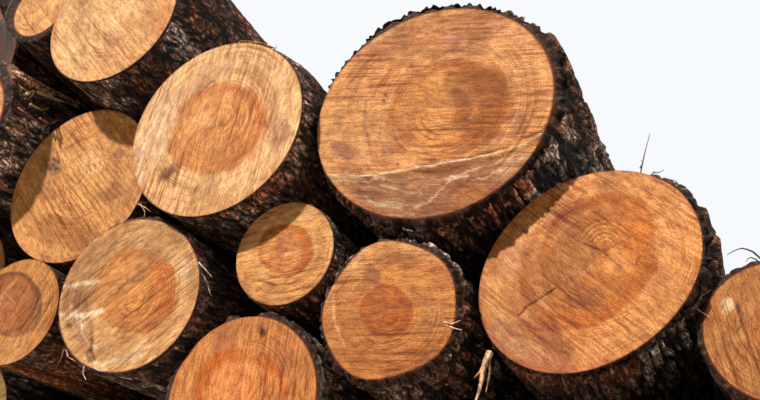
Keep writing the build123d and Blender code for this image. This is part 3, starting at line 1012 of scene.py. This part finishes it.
# The pale log with a dark knot at its lower left
LOOKS["fourth_row_log_4"] = face_look(
    wood=0.251, bark_light=2.6, bare=0.15, chipped=0.004, swells=((35, 50, 0.028, 0.1),),
    pith=(221, 118), sap=srgb(234, 186, 134), saw=72, around=192, along=76, rings=56,
    marks=(
        Spot((216, 129), (54, 43), srgb(208, 130, 62), 0.85, turn=36, soft=0.08, ragged=0.08),
        Spot((213, 130), (46, 36), srgb(226, 160, 94), 0.8, turn=36, ragged=0.15),
        Line(
            ((176, 112), (192, 86), (212, 66), (240, 58), (270, 62), (286, 78)),
            3.5, srgb(230, 178, 150), 0.55),
        Line(((240, 88), (256, 102), (261, 124), (252, 146)), 3, srgb(196, 116, 54), wander=1.5),
        Line(((222, 86), (240, 88)), 2.5, srgb(198, 118, 56), wander=1.5),
        Spot((228, 160), (16, 12), srgb(198, 124, 62), 0.5, turn=50),
        Line(((143, 150), (140, 164), (141, 182)), 4, srgb(216, 204, 190), 0.55),
        Spot((158, 130), (16, 44), srgb(240, 204, 166), turn=-25, ragged=0.4),
        Spot((228, 58), (44, 12), srgb(240, 196, 148), ragged=0.4),
        Spot((279, 132), (14, 20), srgb(164, 112, 92), turn=-20),
        Spot((210, 205), (34, 12), srgb(212, 154, 96), turn=14, ragged=0.4),
        Spot((167, 174), (13, 6), STAIN, 0.7, turn=42, ragged=0.4, sink=0.001),
        Spot((167, 174), (8, 3), srgb(96, 58, 40), 0.7, turn=42, ragged=0.15),
        Line(((205, 88), (208, 84), (214, 81)), 1.6, CRACK, sink=0.002, wander=0.8),
        Spot((221, 124), (3, 3), CRACK_SOFT, ragged=0.15),
    ),
    side_marks=(
        Spot((255, 43), (21, 5), srgb(226, 160, 78), 0.85),
        Spot((276, 188), (6, 4), srgb(206, 132, 52), 0.85, ragged=0.4),
        Spot((260, 196), (8, 6), srgb(206, 130, 98), 0.75, ragged=0.5),
    ),
    strands=(
        Strand(((236, 48), (246, 43), (260, 43), (274, 48)), srgb(150, 98, 54), 0.016, 0.012),
        Strand(((236, 47), (241, 41), (250, 41)), srgb(190, 140, 92), 0.006, 0.008),
        Strand(((270, 52), (275, 49), (277, 46)), srgb(150, 96, 52), 0.005, 0.004),
    ))

# The pale log at the top
LOOKS["top_log_3"] = face_look(
    wood=0.218, bark_light=1.6, bare=0.1, chipped=0.004, swells=((38, 80, 0.070, 0.1),),
    pith=(120, 14), sap=srgb(236, 186, 128), saw=-50, around=200, along=96, rings=48,
    marks=(
        Spot((150, 30), (26, 40), srgb(226, 160, 96), 0.5, turn=-30, ragged=0.4),
        Spot((85, 40), (30, 34), srgb(240, 198, 144), 0.5, ragged=0.4),
        Spot((112, 70), (36, 10), srgb(226, 168, 108), 0.5, turn=12, ragged=0.4),
        Spot((165, 12), (10, 26), srgb(226, 156, 84), 0.5, turn=-30, ragged=0.4),
        Spot((112, 44), (12, 20), srgb(214, 142, 104), 0.4, turn=-20),
        Line(((57, 4), (56, 24), (53, 40)), 2, srgb(190, 104, 48), 0.7, wander=1),
    ),
    side_marks=(
        Spot((252, 30), (10, 5), srgb(190, 110, 90), turn=-40),
        Spot((240, 14), (8, 4), srgb(206, 130, 110), turn=-40),
        Spot((170, 76), (26, 12), srgb(120, 78, 36), 0.5, turn=30),
    ))

# The orange log at the left, with slanting saw lines
LOOKS["fourth_row_log_3"] = face_look(
    wood=0.238, bark_light=1.6, bare=0.3, chipped=0.004,
    pith=(84, 176), sap=srgb(220, 158, 94), saw=-57, around=200, along=60, rings=48,
    marks=(
        Spot((82, 180), (42, 44), srgb(226, 164, 98), 0.5, ragged=0.2),
        Spot((52, 167), (11, 9), srgb(176, 132, 92), 0.75, soft=0.12, ragged=0.2),
        Spot((52, 167), (6, 5), srgb(134, 92, 62), 0.7, soft=0.15, ragged=0.2),
        Spot((50, 169), (2, 2), CRACK, ragged=0.15),
        Spot((119, 154), (6, 5), STAIN_PURPLE, 0.7, ragged=0.3),
        Spot((107, 194), (10, 7), STAIN, 0.35, ragged=0.5),
        Spot((64, 232), (48, 20), srgb(170, 112, 60), 0.75, turn=-18, ragged=0.4),
        Spot((92, 160), (14, 18), srgb(240, 196, 140), 0.5, turn=-35, ragged=0.5),
        Spot((70, 132), (6, 10), srgb(176, 112, 70), 0.4, ragged=0.5),
        *(Line(((38 + 5 * k, 186 - 2 * k), (66 + 5 * k, 228 - 3 * k)), 1.1, srgb(112, 68, 38), 0.7, wander=1)
          for k in range(SAW_LINES)),
    ),
    strands=(
        Strand(((139, 202), (146, 203), (152, 198)), srgb(60, 44, 36), 0.004, 0.002, -0.02),
        Strand(((138, 204), (146, 208), (151, 212)), srgb(206, 176, 140), 0.004, 0.002, -0.02),
        Strand(((140, 203), (145, 212), (144, 218)), srgb(190, 150, 110), 0.004, 0.002, -0.02),
    ))

# The log at the lower left, with resin round its edge
LOOKS["third_row_log_4"] = face_look(
    wood=0.206, oval=0.038, oval_at=-26, bark_light=1.8, bare=0.25, chipped=0.006,
    pith=(134, 300), sap=srgb(222, 172, 116), saw=38, around=184, along=56, rings=52,
    marks=(
        Spot((98, 270), (46, 30), srgb(176, 130, 86), turn=40, ragged=0.5),
        Spot((136, 291), (42, 44), srgb(190, 112, 48), 0.85, turn=-20, soft=0.06, ragged=0.1),
        Spot((128, 292), (36, 38), srgb(216, 150, 84), 0.85, turn=-20, soft=0.15, ragged=0.15),
        Spot((160, 286), (13, 34), srgb(206, 120, 48), turn=8, ragged=0.3),
        Line(((118, 290), (134, 276), (152, 262)), 2, srgb(130, 90, 62)),
        Line(((100, 306), (126, 282), (150, 268)), 1.3, srgb(120, 84, 60), 0.5),
        Line(((106, 262), (126, 246), (142, 240)), 1.3, srgb(120, 84, 60), 0.5),
        Line(((84, 276), (100, 258), (124, 240)), 1.3, srgb(120, 84, 66), 0.5),
        Spot((80, 300), (9, 12), srgb(150, 104, 84)),
        Spot((82, 328), (12, 18), srgb(160, 116, 92), turn=10),
        Line(((62, 287), (78, 284), (98, 281)), 3, srgb(244, 228, 200), 0.85, wander=2),
        Line(((61, 314), (78, 316), (102, 311)), 3.6, srgb(244, 228, 200), 0.85, wander=2),
        Line(((92, 240), (100, 231), (112, 225)), 3, srgb(226, 204, 170)),
        Spot((184, 268), (9, 13), srgb(240, 214, 176), ragged=0.5),
        Line(((96, 362), (118, 362), (140, 356)), 3.5, srgb(240, 220, 184), 0.7),
        Spot((90, 354), (3.5, 8), srgb(84, 60, 44), 0.7, ragged=0.8),
        Line(((80, 326), (86, 340), (98, 350)), 1.6, srgb(236, 214, 180)),
        Line(((100, 366), (122, 357), (150, 344)), 1.8, srgb(244, 226, 196), 0.7),
        Line(((70, 302), (76, 318), (90, 332)), 1.4, srgb(232, 210, 180), 0.55, wander=4),
        Spot((104, 350), (18, 9), srgb(196, 150, 110), 0.5, turn=20, ragged=0.8),
        Spot((150, 250), (20, 8), srgb(170, 124, 84), 0.5, turn=-20, ragged=0.7),
        Spot((69, 325), (3, 3), srgb(84, 60, 46), 0.8, ragged=0.4),
        Line(((92, 340), (90, 350), (94, 360)), 2, CRACK, 0.7, sink=0.004, wander=1.5),
        Line(((61, 292), (60, 306)), 1.6, srgb(226, 206, 176), wander=0.8),
    ),
    strands=(
        Strand(((66, 350), (68, 357), (75, 361)), srgb(200, 160, 120), 0.004, 0.002, -0.02),
        Strand(((64, 349), (62, 356), (60, 361)), srgb(160, 120, 90), 0.004, 0.002, -0.02),
        Strand(((198, 262), (204, 268), (212, 277)), srgb(206, 190, 170), 0.005, 0.004),
        Strand(((197, 266), (206, 280), (211, 296)), srgb(170, 150, 136), 0.004, 0.006),
        Strand(((84, 366), (83, 374), (86, 380)), srgb(210, 200, 190), 0.005, 0.002, -0.01),
        Strand(((92, 367), (100, 371), (112, 370)), srgb(196, 176, 150), 0.006, 0.002, -0.01),
    ))

# The small pale log in the middle
LOOKS["third_row_log_5"] = face_look(
    wood=0.131, bark_light=2.2, bare=0.2, chipped=0.003,
    pith=(286, 249), sap=srgb(222, 164, 100), saw=12, around=168, along=56, rings=36,
    marks=(
        Spot((286, 249), (28, 26), srgb(188, 104, 38), 0.9, soft=0.06, ragged=0.08),
        Spot((283, 250), (23, 21), srgb(212, 142, 84), 0.85, soft=0.2, ragged=0.15),
        Spot((303, 246), (7, 17), srgb(206, 114, 40), 0.7, ragged=0.2),
        Line(((326, 204), (333, 224), (331, 250), (320, 276)), 1.8, srgb(240, 196, 136), wander=1),
        Line(((245, 278), (260, 281), (275, 285)), 1.3, CRACK_SOFT, 0.7, sink=0.001, wander=0.8),
        Spot((286, 249), (2.5, 2.5), CRACK, 0.5, ragged=0.15),
    ))

# The lobed log in the middle
LOOKS["second_row_log_5"] = face_look(
    wood=0.157,
    lobes=((5, 0.022, 30), (3, 0.02, 100)), bark_light=2.2, plates="chunky", bare=0.0, chipped=0.022,
    pith=(386, 313), sap=srgb(196, 130, 70), saw=2, around=216, along=64, rings=44,
    marks=(
        Spot((386, 311), (27, 27), srgb(168, 88, 32), 0.9, soft=0.08, ragged=0.12),
        Spot((384, 311), (22, 22), srgb(182, 106, 52), 0.8, soft=0.2, ragged=0.2),
        Spot((398, 314), (8, 16), srgb(178, 92, 34), ragged=0.3),
        Spot((362, 256), (14, 10), srgb(226, 164, 110), 0.5, turn=30, ragged=0.5),
        Spot((400, 258), (24, 10), srgb(150, 96, 62), 0.55),
        Line(((333, 296), (334, 320), (344, 346)), 1.6, srgb(236, 190, 136), 0.7, wander=1),
        Spot((372, 276), (10, 9), srgb(128, 80, 60), ragged=0.4),
        Spot((348, 282), (16, 22), srgb(228, 168, 112), turn=-30, ragged=0.4),
        Spot((432, 320), (14, 26), srgb(176, 126, 78), 0.5, turn=-15, ragged=0.4),
        Spot((386, 366), (44, 16), srgb(192, 122, 66), ragged=0.4),
        Line(((412, 292), (430, 299), (452, 305)), 1.5, CRACK_SOFT, 0.5, wander=0.8),
        Line(((392, 352), (410, 356), (440, 350)), 1.5, STAIN, 0.5),
    ),
    strands=(
        Strand(((444, 322), (452, 324), (461, 320)), srgb(226, 200, 170), 0.005, 0.002, -0.01),
        Strand(((445, 325), (453, 328), (462, 330)), srgb(206, 170, 140), 0.005, 0.002, -0.01),
    ))

# The log cut off at the bottom
LOOKS["second_row_log_4"] = face_look(
    wood=0.192, bark_light=1.8, bare=0.15, chipped=0.005,
    pith=(240, 385), sap=srgb(202, 134, 74), saw=80, around=176, along=56, rings=44,
    marks=(
        Spot((240, 390), (47, 44), srgb(200, 106, 32), 0.9, soft=0.06, ragged=0.08),
        Spot((242, 393), (39, 36), srgb(222, 144, 82), 0.85, soft=0.15, ragged=0.15),
        Spot((222, 336), (24, 16), srgb(190, 120, 78), turn=30, ragged=0.5),
        Spot((262, 328), (5, 6), srgb(150, 96, 84), 0.8, ragged=0.4),
        Spot((262, 333), (4, 5), srgb(84, 44, 32), 0.85, ragged=0.3, sink=0.004),
        Spot((290, 350), (14, 22), srgb(196, 130, 84), 0.5, turn=-30, ragged=0.4),
    ))

# The log with a dark heart, cut off at the left edge
LOOKS["third_row_log_3"] = face_look(
    wood=0.146, bark_light=1.8, plates="thin", bare=0.2, chipped=0.002,
    pith=(16, 304), sap=srgb(206, 146, 80), saw=60, around=144, along=48, rings=34,
    marks=(
        Spot((14, 304), (29, 34), srgb(104, 58, 22), 0.9, soft=0.06, ragged=0.08),
        Spot((12, 305), (26, 31), srgb(170, 104, 54), 0.85, soft=0.15, ragged=0.12),
        Spot((6, 316), (12, 16), srgb(196, 120, 74), 0.5, ragged=0.4),
        Line(((16, 304), (2, 290)), 1.1, srgb(206, 150, 100), 0.5, wander=0.8),
        Line(((16, 304), (26, 288)), 1.1, CRACK_SOFT, 0.5, wander=0.8),
        Line(((16, 304), (8, 330)), 1.1, srgb(200, 140, 96), 0.5, wander=0.8),
        Line(((32, 310), (40, 305), (50, 302)), 1.3, CRACK_SOFT, sink=0.001, wander=0.8),
    ))

# The log cut off at the right edge
LOOKS["second_row_log_7"] = face_look(
    wood=0.134, bare=0.1, chipped=0.006,
    pith=(775, 325), sap=srgb(190, 130, 78), saw=-70, around=176, along=64, rings=40,
    marks=(
        Spot((778, 326), (27, 34), srgb(176, 108, 56), 0.85, soft=0.15, ragged=0.12),
        Spot((727, 305), (7, 9), RESIN, 0.55, ragged=0.5),
        Line(((738, 304), (741, 320), (737, 334)), 2.5, srgb(74, 52, 38), 0.75),
        Spot((730, 345), (12, 20), srgb(160, 106, 62), 0.5, ragged=0.4),
    ),
    strands=(
        Strand(
            ((772, 268), (760, 258), (752, 251), (743, 248), (735, 250), (727, 255)),
            srgb(84, 70, 66), 0.005, 0.02),
        Strand(((764, 268), (757, 260), (750, 257), (745, 262)), srgb(84, 70, 66), 0.004, 0.02),
    ))

# The small log at the top left
LOOKS["top_log_1"] = face_look(
    wood=0.104, bare=0.0, chipped=0.003, swells=((150, 80, 0.034, 0.0),),
    pith=(34, 6), sap=srgb(230, 174, 108), saw=-55, around=120, along=44, rings=26,
    marks=(
        Spot((36, 56), (5, 6), srgb(190, 120, 66), 0.5, ragged=0.4),
        Spot((58, 14), (6, 16), srgb(206, 122, 62), turn=-10, ragged=0.3),
    ))

# The log with torn bark at the left edge
LOOKS["fourth_row_log_2"] = face_look(
    wood=0.184, bark_light=3.0, bare=0.05, chipped=0.010, swells=((55, 60, 0.048, 0.02),),
    pith=(-45, 92), sap=srgb(214, 152, 90), saw=-55, around=160, along=64, rings=20,
    strands=(
        Strand(((4, 68), (30, 78), (56, 92), (84, 106)), srgb(206, 166, 130), 0.015, flat=True),
        Strand(((8, 71), (24, 79), (40, 88), (60, 92)), srgb(196, 146, 120), 0.013, flat=True),
        Strand(((28, 82), (44, 90), (62, 97), (78, 106)), srgb(214, 170, 126), 0.014, flat=True),
        Strand(((38, 92), (52, 98), (70, 104), (80, 108)), srgb(232, 204, 150), 0.012, flat=True),
        Strand(((10, 76), (22, 88), (36, 96)), srgb(150, 104, 88), 0.008, flat=True),
        Strand(((26, 94), (36, 90), (30, 98)), srgb(236, 216, 170), 0.010, flat=True),
        Strand(((30, 104), (42, 110), (50, 108)), srgb(206, 176, 130), 0.008, flat=True),
        Strand(((18, 108), (30, 116), (38, 122)), srgb(150, 104, 84), 0.008, flat=True),
        Strand(((40, 118), (50, 124), (58, 120)), srgb(196, 150, 124), 0.007, flat=True),
        Strand(((24, 118), (27, 128), (30, 134)), srgb(170, 140, 110), 0.006, flat=True),
    ),
    side_marks=(
        Spot((30, 96), (60, 24), srgb(70, 52, 42), turn=-28, ragged=0.5),
        Spot((42, 86), (50, 10), srgb(196, 128, 100), 0.8, turn=-26),
        Line(((0, 66), (20, 76), (44, 84), (66, 92), (84, 106)), 4, srgb(226, 170, 140), 0.8),
        Line(((30, 86), (56, 92), (82, 106)), 2.2, srgb(240, 204, 150), 0.85),
        Line(((4, 72), (24, 84), (40, 98)), 2, srgb(216, 150, 140), 0.7, wander=4),
        Line(((16, 84), (40, 92), (60, 104)), 1.8, srgb(60, 40, 34), 0.8, wander=4),
        Spot((28, 98), (5, 3), srgb(216, 196, 150), 0.8),
        Spot((42, 110), (7, 4), srgb(196, 160, 120), 0.7),
        Spot((16, 104), (4, 4), srgb(190, 150, 110), 0.7),
        Spot((48, 122), (6, 3), srgb(206, 150, 130), 0.7),
    ))

# A log whose dark bark alone shows, at the left edge
LOOKS["third_row_log_2"] = Look(
    bark_light=2.0, plates="ridged", bark=0.02, bare=0.05, around=144, along=56, rings=20, saw=30)

# The log set back below the small one at the top left. Its sawn end is painted dark brown as shade.
LOOKS["top_log_2"] = Look(
    bark_light=3.0, bark=0.01, bare=0.1, around=112, along=48, rings=16, saw=-20, sap=srgb(96, 66, 46),
    side_marks=(Spot((35, 55), (3, 8), srgb(240, 230, 214), 0.95, turn=-10, ragged=0.15),))

# The dark logs in the upper left corner, whose sawn ends are painted very dark brown as shade
LOOKS["top_log_4"] = Look(
    plates="ridged", bark=0.02, bare=0.0,
    sap=END_PAINTED_SHADE, heart_colour=END_PAINTED_SHADE, around=128, rings=14, saw=30,
    swells=((60, 80, 0.04, 0.0),))

LOOKS["top_log_5"] = Look(
    plates="ridged", bark=0.02, bare=0.0, sap=END_PAINTED_SHADE, heart_colour=END_PAINTED_SHADE, around=120, rings=14,
    swells=((215, 80, 0.04, 0.0),))

# The dim log at the lower left corner. Its sawn end is painted a dull dark tan as shade.
LOOKS["second_row_log_3"] = Look(
    plates="ridged", bare=0.0, around=128, along=44, rings=24, saw=15, sap=srgb(150, 120, 70))


def other_look(number):
    """A look for a log that the photograph doesn't show."""
    pick = np.random.default_rng(number)
    return Look(
        bark=pick.uniform(0.010, 0.02),
        plates=("ridged", "scaly", "chunky")[number % 3],
        bare=pick.uniform(0.0, 0.3),
        pith=(pick.uniform(-0.12, 0.12), pick.uniform(-0.12, 0.12)),
        heart=pick.uniform(0.35, 0.65),
        sap=tuple(np.array(SAP) * pick.uniform(0.85, 1.05)),
        heart_colour=HEART if number % 2 else HEART_DARK,
        saw=pick.uniform(-90, 90),
        lobes=((3, pick.uniform(0, 0.015), pick.uniform(0, 360)),))


# Stage

def place_camera():
    """A camera where the photograph was taken."""
    camera = bpy.data.cameras.new("camera")
    camera.sensor_width = SENSOR_MM
    camera.lens = FOCAL_PIXELS / PHOTO_WIDTH * SENSOR_MM
    camera.clip_end = CAMERA_SIGHT
    body = bpy.data.objects.new("camera", camera)
    bpy.context.scene.collection.objects.link(body)
    body.location = CAMERA_AT
    body.rotation_euler = (radians(90) + CAMERA_PITCH, 0, CAMERA_YAW)
    bpy.context.scene.camera = body


def pale_to_camera(tree, target, seen, elsewhere):
    """Show one shader to the camera, and to mirrors and glass, and another to all else."""
    path = tree.nodes.new("ShaderNodeLightPath")
    seen_by = path.outputs["Is Camera Ray"]
    for ray in ("Is Glossy Ray", "Is Transmission Ray"):
        either = tree.nodes.new("ShaderNodeMath")
        either.operation = "MAXIMUM"
        tree.links.new(seen_by, either.inputs[0])
        tree.links.new(path.outputs[ray], either.inputs[1])
        seen_by = either.outputs[0]
    choice = tree.nodes.new("ShaderNodeMixShader")
    for value, socket in zip((seen_by, elsewhere, seen), choice.inputs):
        tree.links.new(value, socket)
    tree.links.new(choice.outputs[0], target)


def floor():
    """A wide floor, pale to the camera and dim to the light that it throws back."""
    mesh = bpy.data.meshes.new("floor")
    corners = [(x * FLOOR_REACH, y * FLOOR_REACH, 0) for x, y in ((-1, -1), (1, -1), (1, 1), (-1, 1))]
    mesh.from_pydata(corners, [], [(0, 1, 2, 3)])
    ground = bpy.data.objects.new("floor", mesh)
    bpy.context.scene.collection.objects.link(ground)
    n = Nodes("floor")
    pale = n.add("ShaderNodeBsdfDiffuse", {"Color": (0.80, 0.80, 0.79)})
    dim = n.add("ShaderNodeBsdfDiffuse", {"Color": (0.30, 0.28, 0.25)})
    pale_to_camera(n.tree, n.tree.nodes["Material Output"].inputs["Surface"], pale.outputs[0], dim.outputs[0])
    mesh.materials.append(n.material)


def lamp(name, energy, spread, colour, way):
    """A sun whose light travels one way. Its spread is in degrees."""
    sun = bpy.data.lights.new(name, "SUN")
    sun.energy = energy
    sun.angle = radians(spread)
    sun.color = colour
    holder = bpy.data.objects.new(name, sun)
    holder.rotation_euler = Vector(way).to_track_quat("-Z", "Y").to_euler()
    bpy.context.scene.collection.objects.link(holder)


def light():
    """A key and a fill, and a soft backdrop that looks white to the camera."""
    lamp("key", 5.0, 3, (1.0, 0.97, 0.92), (0.35, 0.6, -0.72))
    lamp("fill", 1.2, 45, (1.0, 0.98, 0.95), (-0.92, 0.12, -0.3))
    world = bpy.data.worlds.new("backdrop")
    bpy.context.scene.world = world
    world.use_nodes = True
    tree = world.node_tree
    soft = tree.nodes["Background"]
    soft.inputs["Color"].default_value = (0.95, 0.96, 1.0, 1)
    soft.inputs["Strength"].default_value = 0.11
    white = tree.nodes.new("ShaderNodeBackground")
    white.inputs["Color"].default_value = (0.93, 0.95, 0.97, 1)
    pale_to_camera(tree, tree.nodes["World Output"].inputs["Surface"], white.outputs[0], soft.outputs[0])


SAWN_WOOD = sawn_wood()
BARK = rough_side()
BARK_EDGE = cut_bark()

for number, node in enumerate(sorted(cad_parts)):
    dress(node, LOOKS.get(node) or other_look(number), FIRST_SEED + SEED_STEP * number)
place_camera()
floor()
light()
bpy.context.scene.view_settings.view_transform = "Standard"
